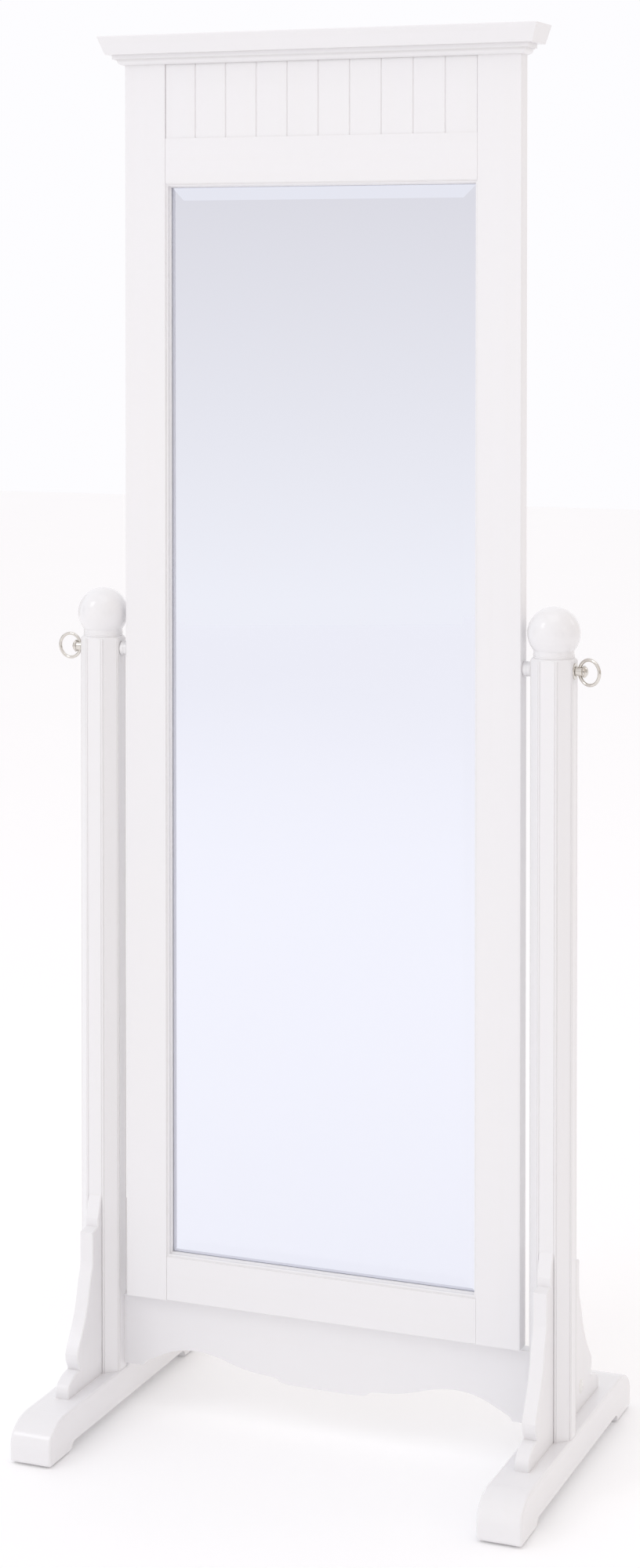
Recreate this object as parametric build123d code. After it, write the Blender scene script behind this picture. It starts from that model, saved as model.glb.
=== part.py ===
from build123d import *
import os
from math import asin, cos, pi, sin, sqrt, tan

# Cheval floor mirror. Millimetres, +Z up, +X to the right, +Y to the back.
# The origin is on the floor, under the middle of the feet.

# ---- Stand ---------------------------------------------------------------
post_across = 51.0          # octagonal post, across its flats
arris_bead = 1.8            # radius of the bead on each arris
arris_quirk = 0.8           # radius of the groove on each side of a bead
post_head = 15.0            # post above the pivot
post_taper = 8.5            # height over which the flats run out
foot_length = 442.0
foot_ledge = 1.0            # how far a foot stands out past each side of its post
foot_top = 51.0
foot_setback = 20.3         # the foot's middle is this far behind the post
foot_nose = 42.0            # length of the rounded end
foot_spring = 22.0          # height where the rounded end turns upright
foot_corner = 5.0
foot_pad = 57.0             # length that stands on the floor at each end
foot_arch = 12.0            # height of the relief between the pads
foot_edge = 3.0
glide_lift = 2.0            # the glides hold the feet this far off the floor
glide_sink = 1.5
glide_radius = 9.0
glide_inset = 28.0
tenon_radius = 14.0
tenon_floor = 4.5           # wood left between the tenon and the bolt's head
tenon_gap = 0.1

# ---- Brackets: heights above the foot, lengths out from the post's face ----
bracket_thickness = 17.5
bracket_rise = 222.0
step_rise = 185.0
hip_rise = 146.0
leaf_rise = 45.0
ledge_rise = 25.0
toe_rise = 6.0
lug_slope = 10.0            # fall along the lug's top
step_slope = 3.0
undercut = 6.0
bracket_edge = 1.2
front_lug = 9.2
front_shoulder = 24.5
front_leaf = 66.0
front_toe = 91.5
back_lug = 24.5
back_shoulder = 54.0
back_leaf = 107.0
back_toe = 136.0

# ---- Apron: its rises are measured from the underside of its ends -----------
apron_front = 4.0           # its face is this far behind the post's centre
apron_thickness = 16.0
apron_clear = 6.0           # its ends clear the feet by this much
apron_height = 86.0
apron_lug_length = 25.0
arch_rise = 27.0            # highest point of the scallop
waist_rise = 8.2
belly_rise = 2.4            # underside in the middle

# ---- Finials -------------------------------------------------------------
finial_radius = 31.0
collar_inset = 1.2          # the collar is this much inside the post's face
collar_groove = 0.4         # depth of the groove between its beads
collar_rise = 4.357         # plain neck between the upper bead and the ball
collar_bead = 2.0           # height of each bead on the collar
spigot_radius = 10.0
spigot_length = 6.0

# ---- Swinging frame --------------------------------------------------------
frame_width = 508.0
frame_lift = 5.2            # the frame clears the apron by this much
pivot_gap = 10.8            # between the frame and each post
frame_thickness = 22.0
pivot_height = 946.5
pivot_behind = 1.0          # the pivot is this far behind the middle of the frame's thickness
member_width = 54.0         # stiles and rails
opening_height = 1314.3
top_rail_height = 55.0
panel_height = 102.0
frame_edge = 1.6
rebate_depth = 8.0          # from the frame's back
rebate_width = 8.0
joint_vee = 0.6             # chamfer on the rails' ends, where they meet the stiles
head_lap = 12.0             # how far the top rail's back runs up behind the panel

# ---- Beaded panel under the crown -------------------------------------------
board_count = 10
panel_thickness = 9.0
panel_recess = 0.8
groove_width = 2.2

# ---- Crown -----------------------------------------------------------------
crown_height = 22.5
crown_overhang_top = 26.0
crown_overhang_low = 18.0
crown_back = 10.8           # how far the crown stands out behind the frame
crown_edge = 1.2
mould_height = 12.5
mould_out = 11.5
mould_fillet = 9.0
mould_cove = 6.0            # radius of the cove

# ---- Mirror glass ------------------------------------------------------------
glass_thickness = 4.0
glass_gap = 1.0             # all round, inside the opening
glass_bevel = 19.5
bevel_drop = 1.8
moulding_width = 4.5
moulding_recess = 1.0
moulding_gap = 0.7          # the dark line between the moulding and the bevelled glass
back_thickness = 4.0
back_gap = 0.5
screw_head = 3.0
screw_head_height = 1.6
screw_shank = 1.5
screw_length = 12.0
screw_rows = 6
screw_end = 50.0            # from the end screws to the corners

# ---- Pivot and clamp hardware --------------------------------------------------
stud_radius = 4.0
running_gap = 0.06
bush_wall = 2.0
spacer_radius = 8.8
spacer_clear = 0.35
spacer_edge = 0.7
spacer_groove = 0.5
insert_wall = 3.0
insert_length = 25.0
stud_end_gap = 5.0
plate_radius = 9.6
plate_thickness = 1.2
plate_gap = 0.3
eye_out = 5.4               # the ring's hole, out from the post's face
eye_gap = 0.3
neck_radius = 5.6
bulb_start = 9.2
bulb_widest = 11.6
bulb_radius = 7.4
knob_length = 15.8
ring_radius = 14.75
wire_radius = 2.0
left_ring_rest = 6.0        # degrees off square, towards the back
right_ring_rest = 23.0      # degrees off square, towards the front

# ---- Fasteners ------------------------------------------------------------------
dowel_radius = 4.0
dowel_half = 20.0           # depth of a dowel in each of its two parts
crown_dowel_half = 17.0
crown_dowel_x = 80.0
dowel_clear = 3.5           # from a bracket's dowel to the post's bolt
post_bolt_reach = 95.0
bolt_radius = 4.0
bolt_head_radius = 6.5
bolt_head = 4.5
head_room = 1.0
cap_radius = 8.8
cap_proud = 2.0
cap_plug = 1.5
cap_out = 61.1              # cap centre, out from the post's face
cap_rise = 27.0             # and above the foot
barrel_radius = 5.0
barrel_length = 12.0
bracket_bolt = 3.0
front_screw_out = 36.5
front_screw_reach = 40.0

# ---- Worked out --------------------------------------------------------------------
SIDES = (("left", -1), ("right", 1))
post_y = -foot_setback
half_post = post_across / 2
half_facet = half_post * tan(pi / 8)
half_frame = frame_width / 2
inner_face = half_frame + pivot_gap
post_x = inner_face + half_post
outer_face = post_x + half_post
post_top = pivot_height + post_head
post_shoulder = post_top - post_taper
foot_width = post_across + 2 * foot_ledge
tenon_length = foot_top - foot_arch - bolt_head - tenon_floor
bracket_top = foot_top + bracket_rise
bracket_step = foot_top + step_rise
bracket_hip = foot_top + hip_rise
leaf_low = foot_top + leaf_rise
ledge_height = foot_top + ledge_rise
toe_spring = foot_top + toe_rise
cap_height = foot_top + cap_rise
apron_lug = foot_top + apron_clear
apron_top = apron_lug + apron_height
collar_radius = half_post - collar_inset
collar_neck = collar_radius - collar_groove
ball_root = sqrt(finial_radius**2 - collar_neck**2)
finial_centre = post_top + 2 * collar_bead + collar_rise + ball_root
frame_bottom = apron_top + frame_lift
pivot_depth = frame_thickness / 2 + pivot_behind
face_y = post_y - pivot_depth
back_y = face_y + frame_thickness
open_x = half_frame - member_width
open_low = frame_bottom + member_width
opening_top = open_low + opening_height
panel_bottom = opening_top + top_rail_height
frame_top = panel_bottom + panel_height
rebate_y = back_y - rebate_depth
glass_y = rebate_y - glass_thickness
panel_y = face_y + panel_recess
head_y = panel_y + panel_thickness
apron_y = post_y + apron_front
bush_radius = stud_radius + bush_wall
insert_radius = stud_radius + insert_wall
back_bolt_y = post_y + half_post + cap_out
front_screw_y = post_y - half_post - front_screw_out
post_dowel = half_post - bolt_radius - dowel_clear
eye_x = outer_face + eye_out
knob_back = outer_face + plate_thickness + plate_gap
stud_end = half_frame - insert_length + stud_end_gap
bracket_dowel_heights = (bracket_hip - 55, bracket_hip + 22)
apron_dowel_heights = (apron_lug + 22, apron_top - 24)


def block(x0, x1, y0, y1, z0, z1):
    """A rectangular block between two corners."""
    middle = Pos((x0 + x1) / 2, (y0 + y1) / 2, (z0 + z1) / 2)
    return middle * Box(abs(x1 - x0), abs(y1 - y0), abs(z1 - z0))


def rod_x(x0, x1, y, z, radius):
    return Pos((x0 + x1) / 2, y, z) * Rot(0, 90, 0) * Cylinder(radius, abs(x1 - x0))


def rod_y(y0, y1, x, z, radius):
    return Pos(x, (y0 + y1) / 2, z) * Rot(90, 0, 0) * Cylinder(radius, abs(y1 - y0))


def rod_z(z0, z1, x, y, radius):
    return Pos(x, y, (z0 + z1) / 2) * Cylinder(radius, abs(z1 - z0))


def lathe(outline):
    """Turn a closed outline of (radius, height) about the vertical axis."""
    return revolve(make_face(Plane.XZ * outline), Axis.Z)


def dome(radius, foot, top):
    """An arc from (radius, foot) up to the axis at the height top."""
    rise = top - foot
    sphere = (radius**2 + rise**2) / (2 * rise)
    half_angle = asin(min(1.0, radius / sphere)) / 2
    middle = (sphere * sin(half_angle), top - sphere * (1 - cos(half_angle)))
    return ThreePointArc((radius, foot), middle, (0, top))


def mitred(stock, plane, corners, thickness):
    """Keep the part of a straight run that lies between its two mitre cuts."""
    return stock & extrude(plane * make_face(Polyline(*corners, close=True)), thickness, both=True)


def cut(solid, tools):
    for tool in tools:
        solid -= tool
    return solid


def write(name, shape):
    if isinstance(shape, list):
        shape = Compound(children=shape)
    export_step(shape, os.path.join("parts", name + ".step"))


# ---- Fasteners ---------------------------------------------------------------------------
def bracket_dowels(side, end):
    """Dowels across the joint between a post and a bracket; end is -1 in front, +1 behind."""
    face = post_y + end * half_post
    start, stop = face - end * post_dowel, face + end * dowel_half
    return [rod_y(start, stop, side * post_x, z, dowel_radius) for z in bracket_dowel_heights]


def apron_dowels(side):
    y = apron_y + apron_thickness / 2
    face = side * inner_face
    return [rod_x(face - side * dowel_half, face + side * dowel_half, y, z, dowel_radius)
            for z in apron_dowel_heights]


def spigot(side):
    """The finial's own short peg; it has to stay clear of the bush below it."""
    return rod_z(post_top - spigot_length, post_top, side * post_x, post_y, spigot_radius)


def bolt(x, y, reach, radius):
    """A bolt put in from under the foot, its head sunk in the arch."""
    seat = foot_arch + bolt_head
    return rod_z(foot_arch, seat, x, y, bolt_head_radius) + rod_z(seat - 1, foot_top + reach, x, y, radius)


def bolt_room(x, y, reach, radius):
    """The hole that a bolt and its head need."""
    seat = foot_arch + bolt_head
    sink = rod_z(-1, seat, x, y, bolt_head_radius + head_room)
    return sink + rod_z(seat - 1, foot_top + reach, x, y, radius)


def foot_bolts(side):
    """The centre, reach above the foot and radius of the three bolts in one foot."""
    x = side * post_x
    return ((x, post_y, post_bolt_reach, bolt_radius),
            (x, back_bolt_y, cap_height - foot_top + barrel_radius / 2, bracket_bolt),
            (x, front_screw_y, front_screw_reach, bracket_bolt))


def barrel_nut(side):
    face = side * (post_x + bracket_thickness / 2 - cap_plug)
    nut = rod_x(face - side * barrel_length, face, back_bolt_y, cap_height, barrel_radius)
    return nut - bolt(*foot_bolts(side)[1])


def barrel_room(side):
    """The blind hole in a back bracket for the barrel nut and the plug of its cap."""
    mouth = side * (post_x + bracket_thickness / 2)
    return rod_x(mouth - side * (cap_plug + barrel_length), mouth, back_bolt_y, cap_height, barrel_radius)


def stud_room(side, near, far):
    """The running hole for a clamp stud, between two distances from the middle."""
    return rod_x(side * near, side * far, post_y, pivot_height, stud_radius + running_gap)


def bolt_cap(side):
    """A domed button whose plug fills the mouth of the barrel nut's hole."""
    face = post_x + bracket_thickness / 2
    outline = Polyline((0, cap_proud), (0, -cap_plug), (barrel_radius, -cap_plug), (barrel_radius, 0),
                       (cap_radius, 0))
    outline += dome(cap_radius, 0, cap_proud)
    return Pos(side * face, back_bolt_y, cap_height) * Rot(0, side * 90, 0) * lathe(outline)


# ---- Posts and finials ----------------------------------------------------------------
def octagon():
    """The post's section: flats to front, back and sides, with a bead on each arris."""
    reach = half_post / cos(pi / 8)
    angles = [pi / 8 + k * pi / 4 for k in range(8)]
    section = make_face(Polyline(*[(reach * cos(a), reach * sin(a)) for a in angles], close=True))
    section = fillet(section.vertices(), arris_bead)
    start = half_facet - arris_bead * tan(pi / 8) - arris_quirk
    for k in range(8):
        for along in (-start, start):
            section -= Rot(0, 0, 45 * k) * Pos(half_post, along) * Circle(arris_quirk)
    return section


def post(side):
    x = side * post_x
    bar = Pos(x, post_y, foot_top) * extrude(octagon(), post_top - foot_top)
    outer = half_post / cos(pi / 8) + 1
    outline = Polyline((collar_radius, post_top), (0, post_top), (0, foot_top), (outer, foot_top),
                       (outer, post_shoulder))
    middle = (collar_radius + (outer - collar_radius) * 0.66,
              post_shoulder + (post_top - post_shoulder) * 0.66)
    outline += ThreePointArc((outer, post_shoulder), middle, (collar_radius, post_top))
    bar &= Pos(x, post_y, 0) * lathe(outline)
    bar += rod_z(foot_top - tenon_length, foot_top, x, post_y, tenon_radius)
    tools = [rod_x(side * (inner_face - 1), side * (outer_face + 1), post_y, pivot_height, bush_radius)]
    tools += [rod_z(0, foot_top + post_bolt_reach, x, post_y, bolt_radius), spigot(side)]
    return cut(bar, tools + apron_dowels(side) + bracket_dowels(side, -1) + bracket_dowels(side, 1))


def finial(side):
    """A turned ball on a collar with two beads."""
    bead, crest = collar_bead, collar_radius
    root = finial_centre - ball_root
    z1, z2 = post_top + bead, post_top + 2 * bead
    crown = (0, finial_centre + finial_radius)
    outline = Polyline(crown, (0, post_top), (collar_neck, post_top))
    outline += ThreePointArc((collar_neck, post_top), (crest, post_top + bead / 2), (collar_neck, z1))
    outline += ThreePointArc((collar_neck, z1), (crest, z1 + bead / 2), (collar_neck, z2))
    outline += Line((collar_neck, z2), (collar_neck, root))
    outline += ThreePointArc((collar_neck, root), (finial_radius, finial_centre), crown)
    return Pos(side * post_x, post_y, 0) * lathe(outline) + spigot(side)


def post_bush(side):
    tube = rod_x(side * inner_face, side * outer_face, post_y, pivot_height, bush_radius)
    return tube - stud_room(side, inner_face - 1, outer_face + 1)


# ---- Feet ---------------------------------------------------------------------------------
def foot_outline():
    """Side view: rounded ends over two pads, with a shallow arch between them."""
    half = foot_length / 2
    rise = foot_arch - glide_lift
    nose = half - foot_nose
    tall = foot_top - foot_spring
    flat = half - foot_pad - rise
    slant = 1 / sqrt(2)
    outline = Curve() + Line((-nose, foot_top), (nose, foot_top))
    outline += Line((-flat, foot_arch), (flat, foot_arch))
    heel = half - foot_pad
    sole = half - foot_corner
    bulge = foot_corner * (1 - slant)
    crook = rise * (1 - slant)
    for end in (-1, 1):
        crown = (end * (nose + foot_nose * slant), foot_spring + tall * slant)
        front = (end * half, foot_spring)
        toe = (end * half, glide_lift + foot_corner)
        corner = (end * (half - bulge), glide_lift + bulge)
        inner = (end * (heel - crook), glide_lift + rise * slant)
        outline += Spline((end * nose, foot_top), crown, front, tangents=[(end, 0), (0, -1)])
        outline += Line(front, toe)
        outline += ThreePointArc(toe, corner, (end * sole, glide_lift))
        outline += Line((end * sole, glide_lift), (end * heel, glide_lift))
        outline += ThreePointArc((end * heel, glide_lift), inner, (end * flat, foot_arch))
    return make_face(Plane.YZ * outline)


def glide_places():
    return [end * (foot_length / 2 - glide_inset) for end in (-1, 1)]


def foot(side):
    x = side * post_x
    bar = extrude(foot_outline(), foot_width / 2, both=True)
    cheeks = bar.edges().filter_by(lambda e: abs(abs(e.center().X) - foot_width / 2) < 0.01)
    bar = fillet(cheeks.filter_by(lambda e: e.center().Z > foot_arch + foot_edge), foot_edge)
    bar = Pos(x, 0, 0) * bar
    tools = [rod_z(foot_top - tenon_length, foot_top + 1, x, post_y, tenon_radius + tenon_gap)]
    tools += [bolt_room(*place) for place in foot_bolts(side)]
    tools += [rod_z(0, glide_lift + glide_sink, x, y, glide_radius) for y in glide_places()]
    return cut(bar, tools)


def foot_glides():
    """A round glide under each end of each foot, let into the wood."""
    top = glide_lift + glide_sink
    return [rod_z(0, top, side * post_x, y, glide_radius) for _, side in SIDES for y in glide_places()]


# ---- Brackets ---------------------------------------------------------------------------------
def bracket_outline(*lengths):
    """Scroll-cut side view: lug, shoulder, leaf, undercut and rounded toe."""
    lug, shoulder, leaf, toe = [half_post + length for length in lengths]
    flare = leaf - shoulder
    drop = bracket_hip - leaf_low
    ledge = leaf - undercut
    slant = 1 / sqrt(2)
    outline = Polyline((toe, toe_spring), (toe, foot_top), (half_post, foot_top), (half_post, bracket_top),
                       (lug, bracket_step + lug_slope), (lug, bracket_step),
                       (shoulder, bracket_step - step_slope),
                       (shoulder, bracket_hip))
    sweep = [(0.11, 0.17), (0.31, 0.46), (0.57, 0.70), (0.84, 0.88)]
    points = [(shoulder + across * flare, bracket_hip - down * drop) for across, down in sweep]
    outline += Spline((shoulder, bracket_hip), *points, (leaf, leaf_low), tangents=[(0, -1), (0.3, -1)])
    curl = (leaf - 0.35 * undercut, ledge_height + 0.42 * (leaf_low - ledge_height))
    outline += Spline((leaf, leaf_low), curl, (ledge, ledge_height), tangents=[(0, -1), (-0.1, -1)])
    crown = (ledge + (toe - ledge) * slant, toe_spring + (ledge_height - toe_spring) * slant)
    outline += Spline((ledge, ledge_height), crown, (toe, toe_spring), tangents=[(1, 0), (0, -1)])
    return make_face(Plane.YZ * outline)


def bracket(side, end):
    """end is -1 for the front bracket and +1 for the back one."""
    shape = (front_lug, front_shoulder, front_leaf, front_toe)
    if end > 0:
        shape = (back_lug, back_shoulder, back_leaf, back_toe)
    plate = extrude(bracket_outline(*shape), bracket_thickness / 2, both=True)
    rim = plate.edges().filter_by(lambda e: abs(abs(e.center().X) - bracket_thickness / 2) < 0.01)
    rim = rim.filter_by(lambda e: e.center().Y > half_post + 1 and e.center().Z > foot_top + 1)
    plate = chamfer(rim, bracket_edge)
    if end < 0:
        plate = mirror(plate, Plane.XZ)
    plate = Pos(side * post_x, post_y, 0) * plate
    tools = bracket_dowels(side, end)
    if end > 0:
        tools += [bolt_room(*foot_bolts(side)[1]), barrel_room(side)]
    else:
        tools += [bolt_room(*foot_bolts(side)[2])]
    return cut(plate, tools)


# ---- Apron -----------------------------------------------------------------------------------------
def apron():
    """A board with a double-scalloped underside, its ends scribed round the posts."""
    lug_x = inner_face - apron_lug_length
    span = lug_x / 240
    fall = arch_rise - waist_rise
    wave = [(228, 0.356 * arch_rise), (202, 0.8 * arch_rise), (172, arch_rise),
            (146, waist_rise + 0.883 * fall), (92, waist_rise + 0.186 * fall), (60, waist_rise),
            (22, belly_rise)]
    outline = Polyline((-lug_x, apron_lug), (-post_x, apron_lug), (-post_x, apron_top), (post_x, apron_top),
                       (post_x, apron_lug), (lug_x, apron_lug))
    for end in (-1, 1):
        points = [(end * x * span, apron_lug + rise) for x, rise in wave]
        outline += Spline((end * lug_x, apron_lug), *points, tangents=[(-end * 0.4, 1), (-end, 0)])
    belly = apron_lug + belly_rise
    outline += Line((-22 * span, belly), (22 * span, belly))
    board = extrude(make_face(Plane.XZ * outline), apron_thickness / 2, both=True)
    board = Pos(0, apron_y + apron_thickness / 2, 0) * board
    for _, side in SIDES:
        board -= Pos(side * post_x, post_y, 0) * extrude(octagon(), apron_top + 1)
        board -= block(side * post_x, side * outer_face, apron_y, apron_y + apron_thickness, 0, apron_top)
        board = cut(board, apron_dowels(side))
    return board.solids().sort_by(SortBy.VOLUME)[-1]


# ---- Swinging frame ------------------------------------------------------------------------------
def frame_dowel_places():
    """Depth and height of the dowels at each end of the rails and the head board."""
    front = (face_y + rebate_y) / 2
    head = (head_y + back_y) / 2
    middle = frame_bottom + member_width / 2
    rail = (opening_top + panel_bottom) / 2
    board = (panel_bottom + head_lap + frame_top) / 2
    return ((front, middle - 10), (front, middle + 10), (front, rail - 8), (front, rail + 14),
            (head, board - 24), (head, board + 20))


def frame_dowels(side):
    x0, x1 = side * (open_x - dowel_half), side * (open_x + dowel_half)
    return [rod_x(x0, x1, y, z, dowel_radius) for y, z in frame_dowel_places()]


def crown_dowels():
    deep = (head_y + back_y) / 2
    middle = (face_y + back_y) / 2
    stile_x = open_x + member_width / 2
    places = ((-stile_x, middle), (-crown_dowel_x, deep), (crown_dowel_x, deep), (stile_x, middle))
    low, high = frame_top - crown_dowel_half, frame_top + crown_dowel_half
    return [rod_z(low, high, x, y, dowel_radius) for x, y in places]


def back_screws(head=True):
    """Screws round the back panel, in the floor of the rebate."""
    inset = rebate_width / 2
    low, high = open_low - inset, opening_top + inset
    step = (high - low - 2 * screw_end) / (screw_rows - 1)
    heights = [low + screw_end + row * step for row in range(screw_rows)]
    places = [(s * (open_x + inset), z) for s in (-1, 1) for z in heights]
    places += [(s * open_x / 2, z) for s in (-1, 1) for z in (low, high)]
    seat = rebate_y + back_thickness
    screws = []
    for x, z in places:
        screw = rod_y(seat - screw_length, seat, x, z, screw_shank)
        if head:
            screw = rod_y(seat - screw_length, seat + 0.2, x, z, screw_shank)
            screw += rod_y(seat, seat + screw_head_height, x, z, screw_head)
        screws.append(screw)
    return screws


def rebate():
    return block(-open_x - rebate_width, open_x + rebate_width, rebate_y, back_y + 1,
                 open_low - rebate_width, opening_top + rebate_width)


def insert_room(side):
    return rod_x(side * (half_frame - insert_length), side * half_frame, post_y, pivot_height, insert_radius)


def stile(side):
    bar = block(side * open_x, side * half_frame, face_y, back_y, frame_bottom, frame_top)
    edges = bar.edges().filter_by(Axis.Z)
    bar = fillet(edges.filter_by(lambda e: abs(e.center().X) > half_frame - 1), frame_edge)
    return cut(bar, [rebate(), insert_room(side)] + frame_dowels(side) + crown_dowels() + back_screws(False))


def vee_ends(bar):
    """Chamfer the front corners at a rail's two ends, so that the joint shows as a fine line."""
    ends = bar.edges().filter_by(Axis.Z).filter_by(lambda e: e.center().Y < face_y + 0.01)
    return chamfer(ends, joint_vee)


def bottom_rail():
    bar = vee_ends(block(-open_x, open_x, face_y, back_y, frame_bottom, open_low))
    low = bar.edges().filter_by(Axis.X).filter_by(lambda e: e.center().Z < frame_bottom + 1)
    bar = fillet(low, frame_edge)
    return cut(bar, [rebate()] + frame_dowels(-1) + frame_dowels(1) + back_screws(False))


def top_rail():
    """The rail over the glass; its back half laps up behind the beaded panel."""
    bar = vee_ends(block(-open_x, open_x, face_y, back_y, opening_top, panel_bottom))
    bar += block(-open_x, open_x, head_y, back_y, opening_top, panel_bottom + head_lap)
    return cut(bar, [rebate()] + frame_dowels(-1) + frame_dowels(1) + back_screws(False))


def head_board():
    board = block(-open_x, open_x, head_y, back_y, panel_bottom + head_lap, frame_top)
    return cut(board, frame_dowels(-1) + frame_dowels(1) + crown_dowels())


def beadboard_panel():
    board = block(-open_x, open_x, panel_y, head_y, panel_bottom, frame_top)
    pitch = 2 * open_x / board_count
    side = groove_width / sqrt(2)
    for k in range(board_count + 1):
        groove = Rot(0, 0, 45) * Box(side, side, 2 * frame_top)
        board -= Pos(k * pitch - open_x, panel_y, 0) * groove
    return board


# ---- Crown -----------------------------------------------------------------------------------------
def crown_cap():
    """A board whose front and ends lean outward to a sharp top edge."""
    def layer(overhang, z):
        y0, y1 = face_y - overhang, back_y + crown_back
        return Pos(0, (y0 + y1) / 2, z) * Rectangle(2 * (half_frame + overhang), y1 - y0)
    cap = loft([layer(crown_overhang_low, frame_top), layer(crown_overhang_top, frame_top + crown_height)])
    cap = fillet(cap.edges().filter_by(lambda e: e.center().Z > frame_top + crown_height - 0.01), crown_edge)
    return cut(cap, crown_dowels())


def crown_moulding():
    """A cove moulding under the cap: one front run and two mitred returns."""
    low = frame_top - mould_height
    nose = frame_top - mould_height / 2
    toe = mould_fillet - mould_cove - 2
    outline = Polyline((0, low), (0, frame_top), (mould_out, frame_top), (mould_out, nose + 1),
                       (mould_fillet, nose + 1), (mould_fillet, nose), (toe + mould_cove, nose))
    outline += RadiusArc((toe + mould_cove, nose), (toe, nose - mould_cove), mould_cove)
    outline += Polyline((toe, nose - mould_cove), (toe, low), (0, low))
    section = make_face(Plane.YZ * outline)
    reach = half_frame + mould_out + 1
    edge = mould_out + 1
    front = Pos(0, face_y, 0) * mirror(extrude(section, reach, both=True), Plane.XZ)
    corners = ((-half_frame, face_y), (half_frame, face_y), (half_frame + edge, face_y - edge),
               (-half_frame - edge, face_y - edge))
    runs = [mitred(front, Plane.XY, corners, 2 * frame_top)]
    for _, side in SIDES:
        bar = Rot(0, 0, -90) * extrude(section, frame_width, both=True)
        if side < 0:
            bar = mirror(bar, Plane.YZ)
        bar = Pos(side * half_frame, face_y, 0) * bar
        corners = ((side * half_frame, back_y), (side * half_frame, face_y),
                   (side * (half_frame + edge), face_y - edge), (side * (half_frame + edge), back_y))
        runs.append(mitred(bar, Plane.XY, corners, 2 * frame_top))
    return runs


# ---- Glass, its moulding and back --------------------------------------------------------------------
def mirror_glass():
    """A bevelled plate; the bevel runs all round its face."""
    low, high = open_low + glass_gap, opening_top - glass_gap
    half = open_x - glass_gap
    middle = (low + high) / 2
    tall = high - low
    edge_y = glass_y + bevel_drop
    plate = block(-half, half, edge_y, rebate_y, low, high)

    def sheet(inset, y):
        upright = Plane((0, y, middle), x_dir=(1, 0, 0), z_dir=(0, -1, 0))
        return upright * Rectangle(2 * (half - inset), tall - 2 * inset)
    return plate + loft([sheet(0, edge_y), sheet(glass_bevel, glass_y)])


def glass_moulding():
    """Four mitred strips with a bead, lining the opening in front of the glass."""
    rear = glass_y + bevel_drop * (1 - (moulding_width - glass_gap) / glass_bevel) - moulding_gap
    front = face_y + moulding_recess
    wide, deep = moulding_width, rear - front
    lip, crest, quirk = wide * 0.25, wide * 0.55, wide * 0.7
    start, foot_of_bead = front + 0.061 * deep, front + 0.266 * deep
    outline = Polyline((0, rear), (0, front), (lip, front), (lip, start))
    outline += ThreePointArc((lip, start), (crest, front + 0.092 * deep), (quirk, foot_of_bead))
    outline += Polyline((quirk, foot_of_bead), (quirk, front + 0.532 * deep), (wide, front + 0.675 * deep),
                        (wide, rear), (0, rear))
    section = make_face(outline)
    middle = (open_low + opening_top) / 2
    tall = opening_top - open_low
    strips = []
    for _, side in SIDES:
        bar = extrude(section, tall, both=True)
        if side > 0:
            bar = mirror(bar, Plane.YZ)
        bar = Pos(side * open_x, 0, middle) * bar
        x0, x1 = side * open_x, side * (open_x - 2 * wide)
        corners = ((x0, open_low), (x0, opening_top), (x1, opening_top - 2 * wide), (x1, open_low + 2 * wide))
        strips.append(mitred(bar, Plane.XZ, corners, frame_width))
    for end, z0 in ((1, open_low), (-1, opening_top)):
        bar = Rot(0, -90, 0) * extrude(section, frame_width, both=True)
        if end < 0:
            bar = mirror(bar, Plane.XY)
        bar = Pos(0, 0, z0) * bar
        z1 = z0 + end * 2 * wide
        corners = ((-open_x, z0), (open_x, z0), (open_x - 2 * wide, z1), (2 * wide - open_x, z1))
        strips.append(mitred(bar, Plane.XZ, corners, frame_width))
    return strips


def back_panel():
    half = open_x + rebate_width - back_gap
    low, high = open_low - rebate_width + back_gap, opening_top + rebate_width - back_gap
    sheet = block(-half, half, rebate_y, rebate_y + back_thickness, low, high)
    return cut(sheet, back_screws(False))


# ---- Pivot and clamp -----------------------------------------------------------------------------------
def pivot_spacer(side):
    """A turned collar on the frame; it clears the post by a hair."""
    length = inner_face - half_frame - spacer_clear
    disc = fillet(Cylinder(spacer_radius, length).edges(), spacer_edge)
    core = Cylinder(spacer_radius - spacer_groove / 2, spacer_groove)
    disc -= Cylinder(spacer_radius + 1, spacer_groove) - core
    disc = Pos(side * (half_frame + length / 2), post_y, pivot_height) * Rot(0, 90, 0) * disc
    return disc - stud_room(side, half_frame, inner_face)


def threaded_insert(side):
    return insert_room(side) - stud_room(side, half_frame - insert_length, half_frame)


def clamp_stud(side):
    return rod_x(side * stud_end, side * knob_back, post_y, pivot_height, stud_radius)


def backplate(side):
    disc = Pos(side * (outer_face + plate_thickness / 2), post_y, pivot_height) * Rot(0, side * 90, 0)
    plate = Cylinder(plate_radius, plate_thickness)
    disc *= chamfer(plate.faces().sort_by(Axis.Z)[-1].edges(), plate_thickness / 3)
    return disc - stud_room(side, outer_face, knob_back + 1)


def knob(side):
    """A turned knob with an eye through its neck, flared so that the ring can swing."""
    start = plate_thickness + plate_gap
    outline = Polyline((0, knob_length), (0, start), (neck_radius, start), (neck_radius, bulb_start))
    swell = (bulb_radius - 0.6, bulb_start + 1.1)
    outline += ThreePointArc((neck_radius, bulb_start), swell, (bulb_radius, bulb_widest))
    outline += dome(bulb_radius, bulb_widest, knob_length)
    body = Pos(side * outer_face, post_y, pivot_height) * Rot(0, side * 90, 0) * lathe(outline)
    reach = neck_radius + 0.5
    inside = ring_radius - wire_radius - eye_gap
    throat = ring_radius - inside
    mouth = ring_radius - sqrt(inside**2 - reach**2)
    eye = Polyline((mouth, reach), (0, reach), (0, -reach), (mouth, -reach))
    eye += ThreePointArc((mouth, -reach), (throat, 0), (mouth, reach))
    return body - Pos(side * eye_x, post_y, pivot_height) * lathe(eye)


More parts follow.
